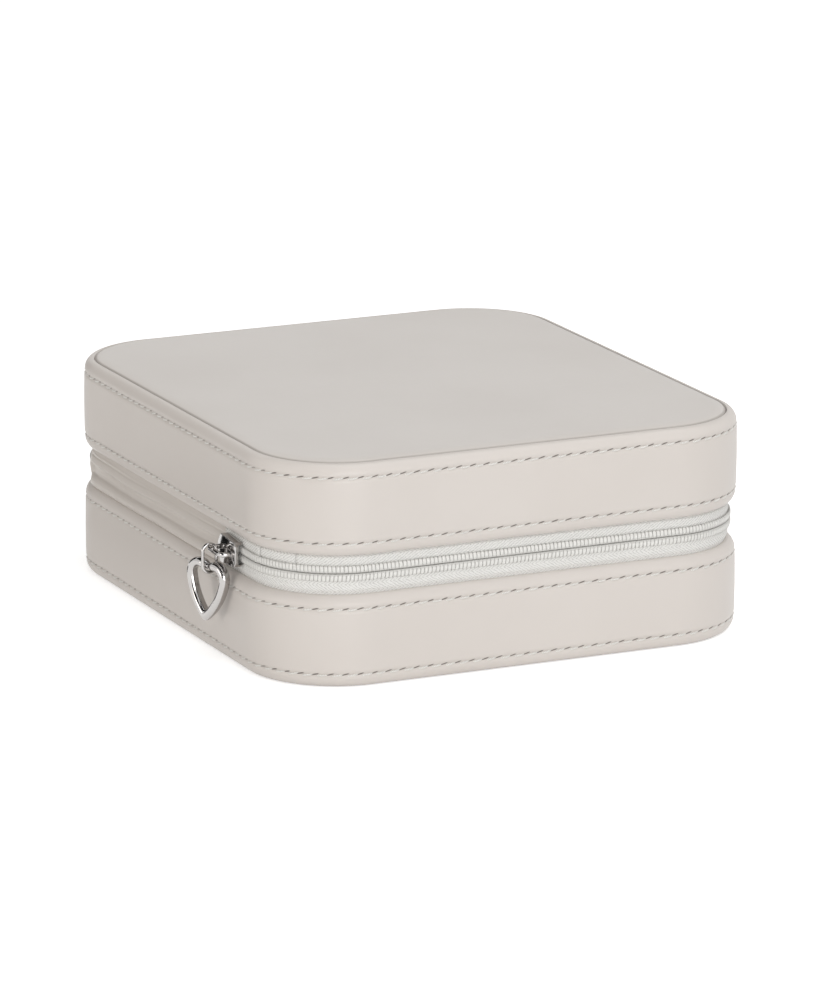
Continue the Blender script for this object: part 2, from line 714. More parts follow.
def bead_piece(name, points, half):
    """One mesh for all beads: faces round each, two faces for each end, and a UV map that runs along each
    bead.
    """
    count = len(points) // (BEAD_RINGS * BEAD_SIDES)
    one = grid_corners(BEAD_RINGS, BEAD_SIDES, False, True, BEAD_SIDES)
    one = np.concatenate([one, BEAD_CAP[:, ::-1], (BEAD_RINGS - 1) * BEAD_SIDES + BEAD_CAP])
    faces = (one[None] + (np.arange(count) * BEAD_RINGS * BEAD_SIDES)[:, None, None]).reshape(-1, 4)
    faces = turned_out(points, faces)
    along = np.tile(np.repeat(np.linspace(0, 2 * half, BEAD_RINGS), BEAD_SIDES), count) * MM
    across = np.tile(np.arange(BEAD_SIDES) / BEAD_SIDES, BEAD_RINGS * count)
    return new_piece(name, points, faces, np.stack([along, across], axis=-1)[faces])


def band_row(row_height, low, seed):
    """The stitches of one row, one for each pitch, a little uneven in place and slant."""
    source = np.random.default_rng(seed)
    length = (np.arange(STITCHES_ROUND) + 1.0) * STITCH_PITCH + source.normal(0, 0.05, STITCHES_ROUND)
    _, _, out_x, out_y = around(length)
    depth = float(band_inset(np.array(row_height)))
    middle = carried(depth, low + row_height - STITCH_DROP, length)
    slant = STITCH_SLANT + source.normal(0, 0.04, STITCHES_ROUND)
    return beads(middle, joined(-out_y, out_x, 0.0), joined(out_x, out_y, 0.0), STITCH_HALF, slant)


def sew(name, low, body, seed):
    """Both rows of a tray as one piece."""
    points = np.concatenate([band_row(row, low, seed + int(row)) for row in (ROW_IN, BAND_H - ROW_IN)])
    return finish_piece(bead_piece(name, points, STITCH_HALF), body, THREAD)


sew("base_stitches", 0.0, "base", 21)
sew("lid_stitches", LID_Z, "lid", 31)

# %% [markdown]
# ## The padded top
# The lid's top is leather over thin foam, glued down in a groove just inside the band. Its edge turns over
# in a small radius, and behind that the panel rises by another tenth of a millimetre. Rings of points at
# growing depth from the edge make the rim. Inside the corner radius the rings shrink towards the middle, and
# the last one closes on a single point.

# %% Lay the top panel
PANEL_IN = 2.6
PANEL_FOOT = 52.85
PANEL_ROLL = 3.4
PANEL_RISE = 1.12
PANEL_SKIRT = 2.7
PANEL_DEEP = 20.0


def top_height(depth, x, y):
    """Height of the panel: a quarter ellipse at its edge, then a slight rise, then slow waves."""
    rolled = 1 - np.clip(depth / PANEL_ROLL, 0, 1)
    edge = PANEL_RISE * np.sqrt(1 - rolled**2)
    rise = 0.10 * (1 - (1 - np.clip((depth - PANEL_ROLL) / 12.0, 0, 1)) ** 2)
    waves = np.sin(x / 11.0 + 0.7 * np.sin(y / 17.0)) + np.sin(y / 13.0 + 1.3 + 0.6 * np.sin(x / 9.0))
    return PANEL_FOOT + edge + rise + 0.015 * waves * np.clip(depth / 8.0, 0, 1)


def top_panel():
    """Rings at a depth behind the edge, as far as the corners' middles, and then rings scaled towards the
    centre.
    """
    length = np.linspace(0, ALL_ROUND, 420, endpoint=False)
    turn = np.linspace(0, math.pi / 2, 12)
    rolled, flat = PANEL_ROLL * (1 - np.cos(turn)), np.linspace(PANEL_ROLL + 0.8, PANEL_DEEP - 0.5, 18)
    depth = np.concatenate([rolled, flat])[:, None]
    rim = carried(PANEL_IN + depth, 0.0, length[None, :])
    rim[..., 2] = top_height(depth, rim[..., 0], rim[..., 1])
    scale = np.linspace(0.95, 0.0, 37)[:, None]
    x, y = rim[-1, :, 0] * scale, rim[-1, :, 1] * scale
    inner = joined(x, y, top_height(PANEL_DEEP, x, y))
    skirt = joined(rim[:1, :, 0], rim[:1, :, 1], PANEL_FOOT - PANEL_SKIRT)
    under = joined(skirt[0, :, 0] * scale, skirt[0, :, 1] * scale, skirt[0, :, 2])[::-1]
    points = np.concatenate([under, skirt, rim, inner])
    v = np.concatenate([np.zeros(len(under) + 1), depth[:, 0], np.full(len(inner), PANEL_DEEP)]) * MM
    u = np.append(length, ALL_ROUND) * MM
    return merged(grid_piece("lid_padded_top", points, u, v, close_columns=True))


padded_top = finish_piece(top_panel(), "lid", TOP_LEATHER, ["lid_top_panel"])

# %% [markdown]
# ## The hinge strip
# On the hinge side the bands are joined by a strip of the same leather. Shut, it folds: a soft slope under
# the lid's roll ends in a sharp ridge, a crease lies under the ridge, and the slack below bulges out before
# it dives behind the base band. The line of that fold is drawn once and wanders a little along the strip. It
# bends between the two bodies when the lid opens.

# %% Fold the strip
STRIP_HEIGHTS = np.array(
    [17.0, 21.0, 21.5, 21.85, 22.1, 22.5, 23.0, 23.5, 24.0, 24.4, 24.65, 24.8, 25.0, 25.5, 26.2, 26.8, 27.15,
     27.4, 27.58, 27.78, 28.0, 28.4, 29.1, 29.6, 30.2, 30.8, 31.4, 32.0, 36.4]
)
STRIP_DEPTHS = np.array(
    [2.55, 2.55, 2.40, 1.78, 1.36, 1.10, 0.98, 1.04, 1.22, 1.50, 1.82, 2.05, 2.20, 2.30, 2.26, 2.14, 1.98,
     1.74, 1.46, 1.30, 1.30, 1.42, 1.66, 1.88, 2.10, 2.28, 2.44, 2.52, 2.55]
)
ZIP_START = math.radians(65.0) * CORNER_R
STRIP_START = ZIP_START + 0.3
STRIP_END = CORNER_ARC + MIDDLE_X + 31.3
STRIP_T = 0.35
OVER_STOP = 4.5


def ribbon(name, front, heights, length, thickness):
    """A closed band of a thickness: front points, the same points set back, and caps at both ends.

    The depths of the front and the heights have one row for each height and one column for each length.
    """
    front, heights, _ = np.broadcast_arrays(front, heights, length[None, :])
    rows, columns = front.shape
    depth = np.concatenate([front, front[::-1] + thickness])
    height = np.concatenate([heights, heights[::-1]], axis=0)
    points = carried(depth, height, length[None, :])
    faces = grid_corners(2 * rows, columns, True, False, columns)
    edge = np.arange(rows - 1)
    opposite = 2 * rows - 1 - edge
    caps = []
    for column, order in ((0, (0, 1, 2, 3)), (columns - 1, (3, 2, 1, 0))):
        cap = np.stack([edge, edge + 1, opposite - 1, opposite], axis=-1) * columns + column
        caps.append(cap[:, order])
    flat = points.reshape(-1, 3)
    kept = turned_out(flat, np.concatenate([faces] + caps))
    travel = np.concatenate([[0.0], np.cumsum(np.hypot(np.diff(front[:, 0]), np.diff(heights[:, 0])))])
    v = np.concatenate([travel, travel[::-1]])
    uv = np.stack(np.meshgrid(length, v), axis=-1).reshape(-1, 2) * MM
    return new_piece(name, flat, kept, uv[kept])


def hinge_fold():
    """The fold's line, lifted along the strip by slow waves. Its first 4.5 mm ease out over the zip's end
    plate.
    """
    fine = np.unique(np.concatenate([np.linspace(21.0, 32.0, 110), [17.0, 19.0, 34.0, 36.4]]))
    length = np.linspace(STRIP_START, STRIP_END, 190)
    along = length[None, :]
    wander = 0.26 * np.sin(along / 15.0 + 0.6) + 0.16 * np.sin(along / 6.3 + 2.0)
    height = fine[:, None]
    shifted = height - wander * bump_at(height, 27.0, 4.2)
    depth = np.interp(shifted, STRIP_HEIGHTS, STRIP_DEPTHS)
    comes_and_goes = 0.5 + 0.5 * np.sin(along / 21.0 + 1.0)
    crease = 0.13 * bump_at(shifted, 29.5, 0.28) * comes_and_goes
    lip = 0.10 * bump_at(shifted, 29.9, 0.3) * comes_and_goes
    slack = 0.10 * np.sin(along / 9.0) * bump_at(shifted, 23.2, 1.2)
    depth = depth + crease - lip + slack
    over_stop = np.clip((STRIP_START + OVER_STOP - along) / 2.5, 0, 1)
    cover = np.minimum(1.22 + 0.05 * (height - 26.8) ** 2, 2.9)
    depth = depth + over_stop * (cover - depth)
    return ribbon("hinge_fold", depth, height, length, STRIP_T)


hinge_fold_piece = finish_piece(hinge_fold(), None, STRIP_LEATHER, ["hinge_strip"])
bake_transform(hinge_fold_piece)


def bottom_stop():
    """A thin bent plate under the strip's first millimetres, its front a shallow parabola across the zip."""
    heights = np.linspace(CHAIN_Z - 1.9, CHAIN_Z + 1.9, 13)[:, None]
    length = np.linspace(ZIP_START + 0.5, ZIP_START + 2.9, 7)
    return ribbon("zip_end_plate", 1.46 + 0.05 * (heights - CHAIN_Z) ** 2, heights, length, 0.2)


finish_piece(bottom_stop(), "base", NICKEL, ["zip_bottom_stop"])

# %% [markdown]
# ## The zip's tapes
# A zip tape is a narrow herringbone ribbon. Its outer edge is sewn behind a band, and its inner edge carries
# the coil. The lower tape stays with the base. The upper tape leaves with the lid, except on the hinge side,
# where it bends between the two. There it is cut into a tail and a corner piece, because each bends along
# its own direction.

# %% Weave the tapes
FLAT_LOW = CHAIN_Z - 3.7
FLAT_HIGH = CHAIN_Z + 3.7
SEWN_DEEP = 5.0
UNDER_COIL = 0.9
RIB_IN = 1.45
TAIL_ANGLE = math.radians(10.0)
TAIL_STOP = STARTS[1] + TAIL_ANGLE * CORNER_R
BEND_STOP = STARTS[1] + math.radians(40.0) * CORNER_R
TAPE_END = CORNER_ARC + MIDDLE_X + 31.6
COIL_END = CORNER_ARC + MIDDLE_X + 36.1
ZIP_STOP = ZIP_START + ALL_ROUND


def tape_depth(height, edge, flat):
    """Half a cosine wave from the depth of the band's back to the depth of the chain."""
    share = np.clip((height - edge) / (flat - edge), 0, 1)
    return BAND_T + (TAPE_IN - BAND_T) * (1 - np.cos(math.pi * share)) / 2


def tape(name, sewn, edge, flat, end, start, stop):
    """A stretch of tape between two heights, with a slightly thicker rib at its inner edge."""
    heights = np.linspace(sewn, end, 44)[:, None]
    length = np.linspace(start, stop, max(8, int((stop - start) / 0.9)))
    rib = 0.09 * bump_at(np.abs(heights - end), RIB_IN, 0.25)
    return ribbon(name, tape_depth(heights, edge, flat) - rib, heights, length, TAPE_T)


LOWER = (BAND_H - SEWN_DEEP, BAND_H, FLAT_LOW, CHAIN_Z - UNDER_COIL)
UPPER = (LID_Z + SEWN_DEEP, LID_Z, FLAT_HIGH, CHAIN_Z + UNDER_COIL)
TAPES = [
    ("tape_lower", LOWER, TAPE_END, ZIP_STOP + 2.9, "base", ["zip_tape_lower"]),
    ("tape_upper", UPPER, BEND_STOP, ZIP_STOP, "lid", ["zip_tape_upper"]),
    ("tape_upper_tail", UPPER, TAPE_END, TAIL_STOP, None, ["zip_tape_upper_tail"]),
    ("tape_upper_corner", UPPER, TAIL_STOP, BEND_STOP, None, []),
]
for name, levels, start, stop, body, nodes in TAPES:
    finish_piece(tape(name, *levels, start, stop), body, TAPE, nodes)

# %% [markdown]
# The tail bends only upwards, so its blend runs straight up. On the corner the blend also grows along the
# way round: the share of the lid's motion is a height over 2.1 mm plus a distance over 5 mm. A blend is
# stated by two points, and for a gradient g they lie g over the square of its length apart.


def bend_from_tail(piece):
    """Blend from the base at the tail to the lid, growing upwards and towards -X."""
    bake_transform(piece)


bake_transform(PIECES["tape_upper_tail"])
bend_from_tail(PIECES["tape_upper_corner"])

# %% [markdown]
# ## The coils
# Each half of the chain is one nylon filament wound into a flat spiral and sewn to its tape. The halves
# interlock because their turns lie between each other. The filament is a thin tube on an elliptic spiral,
# and both spirals share a pitch, half a turn apart. A thin sewn cord runs along the back of each spiral.

# %% Wind the coils
COIL_PITCH = 1.0
COIL_LEAN = 0.8
COIL_DEPTH = TAPE_IN - 0.36
COIL_MIDDLE = 0.96
COIL_TALL = 0.84
COIL_DEEP = 0.31
COIL_STEPS = 13
WIRE_WIDE = 0.50
WIRE_DEEP = 0.042
CORD_MIDDLE = 0.91
CORD_TALL = 0.90
CORD_DEEP = 0.31


def tube(centre, first, second, wide, deep, sides):
    """Points and faces of a closed tube round a line of local points (along, up, out) beside the chain's
    middle.
    """
    ring = full_turn(sides)[None, :, None]
    offset = wide * np.cos(ring) * first[:, None] + deep * np.sin(ring) * second[:, None]
    local = centre[:, None] + offset
    points = carried(COIL_DEPTH - local[..., 2], CHAIN_Z + local[..., 1], local[..., 0]).reshape(-1, 3)
    faces = grid_corners(len(centre), sides, False, True, sides)
    faces = np.concatenate([faces, BEAD_CAP[:, ::-1], (len(centre) - 1) * sides + BEAD_CAP])
    return points, turned_out(points, faces)


def spiral(name, side, start, stop):
    """A filament on a spiral round a straight cord.

    The filament's centre goes once round an ellipse for every pitch along the way. It moves on by the pitch
    times the angle plus its cosine, over a full turn, so it stands upright in front and leans only behind.
    Its flattened ring lies across the direction of travel, which is that line's own derivative. The cord is
    a plain tube inside.
    """
    shift = 0.0 if side > 0 else math.pi
    first_turn = 2 * math.pi * start / COIL_PITCH
    last_turn = 2 * math.pi * stop / COIL_PITCH
    count = int((stop - start) / COIL_PITCH * COIL_STEPS) + 1
    angle = np.linspace(first_turn, last_turn, count) + shift
    lean = COIL_PITCH * COIL_LEAN / (2 * math.pi)
    travel = np.clip((angle - shift) * COIL_PITCH / (2 * math.pi) + lean * np.cos(angle), start, stop)
    up = side * (COIL_MIDDLE + COIL_TALL * np.cos(angle))
    onward = COIL_PITCH / (2 * math.pi) - lean * np.sin(angle)
    heading = joined(onward, -side * COIL_TALL * np.sin(angle), COIL_DEEP * np.cos(angle))
    heading /= np.linalg.norm(heading, axis=1, keepdims=True)
    second = np.cross(heading, [1.0, 0.0, 0.0])
    second /= np.linalg.norm(second, axis=1, keepdims=True)
    line = joined(travel, up, COIL_DEEP * np.sin(angle))
    wire, wire_faces = tube(line, np.cross(second, heading), second, WIRE_WIDE, WIRE_DEEP, 6)
    few = np.linspace(start, stop, int((stop - start) / 1.6) + 2)
    across = np.tile([0.0, 1.0, 0.0], (len(few), 1))
    outwards = np.tile([0.0, 0.0, 1.0], (len(few), 1))
    cord, cord_faces = tube(joined(few, side * CORD_MIDDLE, 0.0), across, outwards, CORD_TALL, CORD_DEEP, 8)
    faces = np.concatenate([wire_faces, cord_faces + len(wire)])
    return new_piece(name, np.concatenate([wire, cord]), faces)


COILS = [
    ("coil_lower", -1, COIL_END, ZIP_STOP, "base", ["zip_coil_lower", "zip_coil_lower_tail"]),
    ("coil_upper", 1, BEND_STOP, ZIP_STOP, "lid", ["zip_coil_upper"]),
    ("coil_upper_tail", 1, COIL_END, TAIL_STOP, "base", ["zip_coil_upper_tail"]),
    ("coil_upper_corner", 1, TAIL_STOP, BEND_STOP, None, []),
]
for name, side, start, stop, body, nodes in COILS:
    finish_piece(spiral(name, side, start, stop), body, COIL, nodes)
bend_from_tail(PIECES["coil_upper_corner"])

# %% [markdown]
# ## The slider
# A zip slider is cast from zinc, tumbled until its edges are round, and plated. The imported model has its
# plates, channel and neck with sharp edges. A copy of that mesh is merged, its flat faces are joined, and a
# bevel rounds every edge, which is what makes small metal catch the light.

# %% Round the metal's edges
def rounded_copy(node_name, name, width):
    """A copy of a node's mesh with its doubles merged, flat faces joined, and a bevel of a width in
    millimetres.
    """
    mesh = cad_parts[node_name].data.copy()
    mesh.name = name
    work = bmesh.new()
    work.from_mesh(mesh)
    bmesh.ops.remove_doubles(work, verts=work.verts, dist=0.002 * MM)
    bmesh.ops.dissolve_limit(work, angle_limit=math.radians(2), verts=work.verts, edges=work.edges)
    work.to_mesh(mesh)
    work.free()
    piece = bpy.data.objects.new(name, mesh)
    ROOT_COLLECTION.objects.link(piece)
    bevel = piece.modifiers.new("rounded edges", "BEVEL")
    bevel.width = width * MM
    bevel.segments = 3
    bevel.limit_method = "ANGLE"
    bevel.angle_limit = math.radians(35)
    bevel.harden_normals = True
    mesh.shade_smooth()
    PIECES[name] = piece
    return piece


casting = rounded_copy("slider_body", "slider_casting", 0.30)
finish_piece(casting, "slider", NICKEL, ["slider_body"])


CROWN_MIDDLE = (-36.8, 66.3, CHAIN_Z)
CROWN_REACH = 3.9
CROWN_FOOT = 63.5
CROWN_THICK = 0.58
CROWN_TALL = 0.60


def crown():
    """A domed bar over the slider: its path leaves the plate, turns over a quarter circle, and returns.

    The path is an ellipse of the sixth power, and the section a slightly squared ellipse, taller than it is
    thick.
    """
    onward, outward = squared_circle(np.linspace(0, math.pi, 61), 6.0)
    x = CROWN_MIDDLE[0] + CROWN_REACH * onward
    y = CROWN_FOOT + (CROWN_MIDDLE[1] - CROWN_FOOT) * outward
    along = np.stack([np.gradient(x), np.gradient(y)], axis=-1)
    along /= np.linalg.norm(along, axis=1, keepdims=True)
    across, upward = squared_circle(full_turn(24), 2.4)
    thick = CROWN_THICK * across
    grid_x = x[:, None] + along[:, 1:2] * thick
    grid_y = y[:, None] - along[:, 0:1] * thick
    rings = joined(grid_x, grid_y, CROWN_MIDDLE[2] + CROWN_TALL * upward)
    first, last = (ring.mean(axis=1, keepdims=True) + 0 * ring for ring in (rings[:1], rings[-1:]))
    return merged(grid_piece("slider_crown", np.concatenate([first, rings, last]), close_columns=True))


finish_piece(crown(), "slider", NICKEL, ["slider_bridge"])

# %% [markdown]
# ## The link and the heart
# The pull is an open heart, cast thick and polished, with rounded edges. A bent wire link joins it to the
# slider's bridge. The heart's outer line is made of arcs: two lobes, two almost straight sides and a small
# round tip. The opening's line runs beside it, and the rim's section spans from one line to the other.
# Between the lobes it narrows to a bar that hangs in the link.

# %% Cast the heart and bend the link
LINK_AT = np.array([-34.4, 66.6, 0.0])
LINK_TOP = 26.7
LINK_LOW = 23.4
LINK_R = 1.75
LINK_WIRE_R = 0.40
LOBE_X = 2.6
LOBE_R = 4.0
LIMB = 2.2
HEART_H = 15.0
HEART_T = 2.7
TIP_R = 0.9
HOLE_R = 0.5
BAR_R = 0.7
SIDE_R = 17.0
HEART_YAW = math.radians(20.5)
HEART_LEAN = math.radians(3.8)
HEART_OUT = 0.25
NOTCH_Y = math.sqrt(LOBE_R**2 - LOBE_X**2)
BAR_Y = NOTCH_Y - BAR_R - 0.1
BAR_Z = LINK_LOW - 1.3 + 0.2 + BAR_R


def eased(value, low, high):
    """Three times the share squared less twice its cube, between two values."""
    share = np.clip((value - low) / (high - low), 0, 1)
    return share**2 * (3 - 2 * share)


def direction(angle):
    """Unit vectors at angles."""
    return np.stack([np.cos(angle), np.sin(angle)], axis=-1)


def heart_lines():
    """Half of the outer line and half of the opening's line, point for point, from the notch to the tip.

    The side is an arc of a large circle that touches the lobe's circle and the tip's circle from outside.
    Its middle is the corner of a triangle whose sides are the large radius less each small radius. The
    opening's line runs at the limb's width inside, to a small circle of its own at the tip.
    """
    lobe_middle = np.array([LOBE_X, 0.0])
    tip_middle = np.array([0.0, LOBE_R - HEART_H + TIP_R])
    base = lobe_middle - tip_middle
    span = math.hypot(*base)
    from_lobe, from_tip = SIDE_R - LOBE_R, SIDE_R - TIP_R
    foot = (span**2 + from_tip**2 - from_lobe**2) / (2 * span)
    aside = math.sqrt(from_tip**2 - foot**2)
    ahead = base / span
    middle = tip_middle + foot * ahead + aside * np.array([-ahead[1], ahead[0]])
    hole_y = middle[1] - math.sqrt((SIDE_R - LIMB - HOLE_R) ** 2 - middle[0] ** 2)
    meets_lobe = math.atan2(*(lobe_middle - middle)[::-1])
    halves = []
    for lobe_r, side_r, tip_r, tip_y in (
        (LOBE_R, SIDE_R, TIP_R, tip_middle[1]),
        (LOBE_R - LIMB, SIDE_R - LIMB, HOLE_R, hole_y),
    ):
        meets_tip = math.atan2(tip_y - middle[1], -middle[0])
        lobe = direction(np.linspace(math.atan2(NOTCH_Y, -LOBE_X), meets_lobe, 60))
        side = direction(np.linspace(meets_lobe, meets_tip, 26)[1:-1])
        tip = direction(np.linspace(meets_tip, -math.pi / 2, 9))
        halves.append(
            np.concatenate([lobe_middle + lobe_r * lobe, middle + side_r * side, [0.0, tip_y] + tip_r * tip])
        )
    outer, opening = halves
    full = eased(outer[:, 0], 0.0, 1.7)
    full[60:] = 1.0
    bar = np.array([0.0, BAR_Y - BAR_R])
    opening = bar + (opening - bar) * full[:, None]
    return outer, opening, BAR_R + (HEART_T / 2 - BAR_R) * full


def heart():
    """The closed rim: the half lines and their mirror images, with a slightly squared ellipse between."""
    outer, opening, deep = heart_lines()
    mirror = np.array([-1.0, 1.0])
    outer = np.concatenate([outer, outer[-2:0:-1] * mirror])
    opening = np.concatenate([opening, opening[-2:0:-1] * mirror])
    deep = np.concatenate([deep, deep[-2:0:-1]])
    inwards, thick = squared_circle(full_turn(36), 2.25)
    across = 0.5 - 0.5 * inwards
    flat = outer[:, None] + across[None, :, None] * (opening - outer)[:, None]
    x, y = flat[..., 0], flat[..., 1] - BAR_Y
    cosine, sine = math.cos(HEART_LEAN), math.sin(HEART_LEAN)
    x, y = x * cosine - y * sine, x * sine + y * cosine
    wide = np.array([math.cos(HEART_YAW), math.sin(HEART_YAW), 0.0])
    normal = np.array([-math.sin(HEART_YAW), math.cos(HEART_YAW), 0.0])
    upwards = np.array([0.0, 0.0, 1.0])
    out = deep[:, None] * thick + HEART_OUT * (deep[:, None] - BAR_R) / (HEART_T / 2 - BAR_R)
    grid = x[..., None] * wide + y[..., None] * upwards + out[..., None] * normal
    return grid_piece("heart_pull", LINK_AT + [0, 0, BAR_Z] + grid, close_rows=True, close_columns=True)


def link():
    """A round wire along two half circles and two straight sides."""
    turn = np.concatenate([np.linspace(0, math.pi, 25), np.linspace(math.pi, 2 * math.pi, 25)])
    middle_z = np.repeat([LINK_TOP, LINK_LOW], 25)
    ring = full_turn(20)[None, :]
    reach = LINK_R + LINK_WIRE_R * np.cos(ring)
    y = reach * np.cos(turn)[:, None]
    z = middle_z[:, None] + reach * np.sin(turn)[:, None]
    points = LINK_AT + joined(LINK_WIRE_R * np.sin(ring), y, z)
    return grid_piece("wire_link", points, close_rows=True, close_columns=True)


finish_piece(heart(), "heart", NICKEL, ["pull_heart"])
finish_piece(link(), "link", NICKEL, ["pull_link"])

# %% [markdown]
# ## Ring rolls
# Rings stand between six rolls: strips of soft foam wrapped in velvet and glued down side by side. Their
# velvet is drawn in at the ends. Each roll starts as a rounded bar a little too small, and a short cloth
# simulation swells it against its held ends by up to 0.3 mm. It runs at twenty times the size, where cloth
# behaves like cloth.

# %% Swell the ring rolls
ROOM_HALF_W = CASE_W / 2 - ROOM_IN
ROOM_HALF_D = CASE_D / 2 - ROOM_IN
ROOM_R = CORNER_R - ROOM_IN
ROLLS = 6
ROLL_PITCH = 10.2
ROLL_W = 9.8
ROLL_H = 14.5
ROLL_RIGHT = -2.5
ROLL_GAP = 0.2
ROLL_STEP = 1.4
ROLL_ROUND = 1.3
SECTION_POINTS = 34
SIM_SCALE = 20.0
SIM_FRAMES = 20
SWELL_CAP = 0.30
CLOTH = {
    "quality": 5,
    "vertex_group_mass": "held",
    "use_pressure": True,
    "uniform_pressure_force": 4.0,
    "shrink_min": -0.05,
    "tension_stiffness": 12.0,
    "compression_stiffness": 12.0,
    "shear_stiffness": 4.0,
    "bending_stiffness": 0.3,
}


def corner_reach(y):
    """How far a corner of the room comes in at a place y: the radius less the root of the circle's rest."""
    over = np.maximum(np.abs(y) - (ROOM_HALF_D - ROOM_R), 0)
    return ROOM_R - np.sqrt(np.maximum(ROOM_R**2 - over**2, 0))


def roll_section():
    """Points round a roll's section: a flat foot, upright sides and half a circle above, at equal steps."""
    half = ROLL_W / 2 - 0.25
    top = FLOOR_Z + ROLL_H - ROLL_W / 2
    arc = np.linspace(0, math.pi, 41)
    line = np.concatenate([
        [[0, FLOOR_Z + 0.1], [half - 0.8, FLOOR_Z + 0.1], [half, FLOOR_Z + 0.9]],
        np.stack([half * np.cos(arc), top + (ROLL_W / 2 - 0.2) * np.sin(arc)], axis=-1),
        [[-half, FLOOR_Z + 0.9], [0.8 - half, FLOOR_Z + 0.1], [0, FLOOR_Z + 0.1]],
    ])
    travel = np.concatenate([[0.0], np.cumsum(np.linalg.norm(np.diff(line, axis=0), axis=1))])
    steps = np.linspace(0, travel[-1], SECTION_POINTS, endpoint=False)
    return np.stack([np.interp(steps, travel, line[:, 0]), np.interp(steps, travel, line[:, 1])], axis=-1)


def start_roll(number):
    """The section carried from end to end, and drawn in at both ends over a quarter circle and rings to a
    pole.
    """
    y = -ROOM_HALF_D + (number - 0.5) * ROLL_PITCH
    left = -ROOM_HALF_W + float(corner_reach(abs(y) + ROLL_W / 2)) + 0.4
    section = roll_section()
    section_middle = np.array([0.0, FLOOR_Z + ROLL_H / 2])
    turn = np.linspace(math.pi / 2, 0, 5)[:-1]
    inset = ROLL_ROUND * (1 - np.cos(turn))
    scale = 1 - 1.2 * (1 - np.sin(turn)) / 6.0
    x_left = left + ROLL_GAP + inset[::-1]
    middle = np.arange(x_left[-1] + ROLL_STEP, ROLL_RIGHT - ROLL_GAP - 2.4, ROLL_STEP)
    x_right = ROLL_RIGHT - ROLL_GAP - inset
    shrink = np.concatenate([[0.0, 0.4, 0.72], scale[::-1], np.ones(len(middle)), scale, [0.72, 0.4, 0.0]])
    x = np.concatenate([[x_left[0]] * 3, x_left, middle, x_right, [x_right[-1]] * 3])
    flat = section_middle + shrink[:, None, None] * (section - section_middle)
    points = joined(x[:, None], y + flat[..., 0], flat[..., 1])
    return merged(grid_piece(f"velvet_roll_{number}", points, close_columns=True)), x_left[0], x_right[-1]


def swell(piece, held):
    """Runs Cloth with pressure on a large copy, and moves each point of the piece by what it moved, up to
    the cap.
    """
    size = len(piece.data.vertices)
    start = np.empty(size * 3, dtype=np.float32)
    piece.data.vertices.foreach_get("co", start)
    start = start.reshape(-1, 3)
    mesh = piece.data.copy()
    mesh.vertices.foreach_set("co", (start * SIM_SCALE).ravel())
    large = bpy.data.objects.new("large copy", mesh)
    ROOT_COLLECTION.objects.link(large)
    group = large.vertex_groups.new(name="held")
    group.add(np.flatnonzero(held(start / MM)).tolist(), 1.0, "REPLACE")
    cloth = large.modifiers.new("swell", "CLOTH")
    for name, value in CLOTH.items():
        setattr(cloth.settings, name, value)
    cloth.settings.effector_weights.gravity = 0.0
    cloth.collision_settings.use_collision = False
    cloth.point_cache.frame_start = 1
    cloth.point_cache.frame_end = SIM_FRAMES
    for frame_number in range(1, SIM_FRAMES + 1):
        bpy.context.scene.frame_set(frame_number)
    done = large.evaluated_get(bpy.context.evaluated_depsgraph_get())
    end = np.empty(size * 3, dtype=np.float32)
    done.data.vertices.foreach_get("co", end)
    moved = (end.reshape(-1, 3) / SIM_SCALE - start) / MM
    far = np.linalg.norm(moved, axis=1, keepdims=True)
    moved *= np.minimum(1.0, SWELL_CAP / np.maximum(far, 1e-6))
    piece.data.vertices.foreach_set("co", (start + moved * MM).astype(np.float32).ravel())
    piece.data.update()
    bpy.data.objects.remove(large)
    bpy.data.meshes.remove(mesh)
    bpy.context.scene.frame_set(1)
    print(f"{piece.name}: the cloth moved {np.median(far):.2f} mm in the median, {far.max():.2f} mm at most")


def softened(piece):
    """Rounds the faces with one subdivision."""
    smoother = piece.modifiers.new("soft surface", "SUBSURF")
    smoother.levels = smoother.render_levels = 1
    return piece


for number in range(1, ROLLS + 1):
    roll, roll_left, roll_right = start_roll(number)

    def held(points, ends=(roll_left, roll_right)):
        """The foot, and both flat ends."""
        at_end = (points[:, 0] < ends[0] + 0.05) | (points[:, 0] > ends[1] - 0.05)
        return at_end | (points[:, 2] < FLOOR_Z + 0.3)

    swell(roll, held)
    softened(roll)
    finish_piece(roll, "base", FLOCK, [f"ring_roll_{number}"])

# %% [markdown]
# ## Walls of the compartments
# The walls are board wrapped in the same velvet. Copies of the model's meshes get round edges, which is how
# wrapped board looks. The wall that lifts out keeps its finger notch. The linings and the leather underneath
# are made the same way.

# %% Wrap the walls, linings and floor panel
WRAPPED = [
    ("long_divider", "wrapped_long_wall", "base", 0.45),
    ("cross_divider", "wrapped_cross_wall", "base", 0.45),
    ("divider_guides", "wrapped_guides", "base", 0.40),
    ("lift_out_divider", "wrapped_lifting_wall", "lifting_wall", 0.55),
    ("base_wall_lining", "velvet_base_wall", "base", 0.35),
    ("base_floor_lining", "velvet_base_floor", "base", 0.25),
    ("lid_wall_lining", "velvet_lid_wall", "lid", 0.35),
    ("lid_ceiling_lining", "velvet_lid_ceiling", "lid", 0.25),
]
for node_name, piece_name, body, width in WRAPPED:
    finish_piece(rounded_copy(node_name, piece_name, width), body, FLOCK, [node_name])
bottom = rounded_copy("base_bottom_panel", "leather_bottom_panel", 0.4)
finish_piece(bottom, "base", PANEL_LEATHER, ["base_bottom_panel"])

# %% [markdown]
# ## Pocket in the lid
# A gathered pocket holds earrings flat. One sheet of cloth is sewn to the lid's lining on three sides and
# rises to an elastic hem on the fourth. The elastic draws the cloth into folds that fade towards the far
# seam.

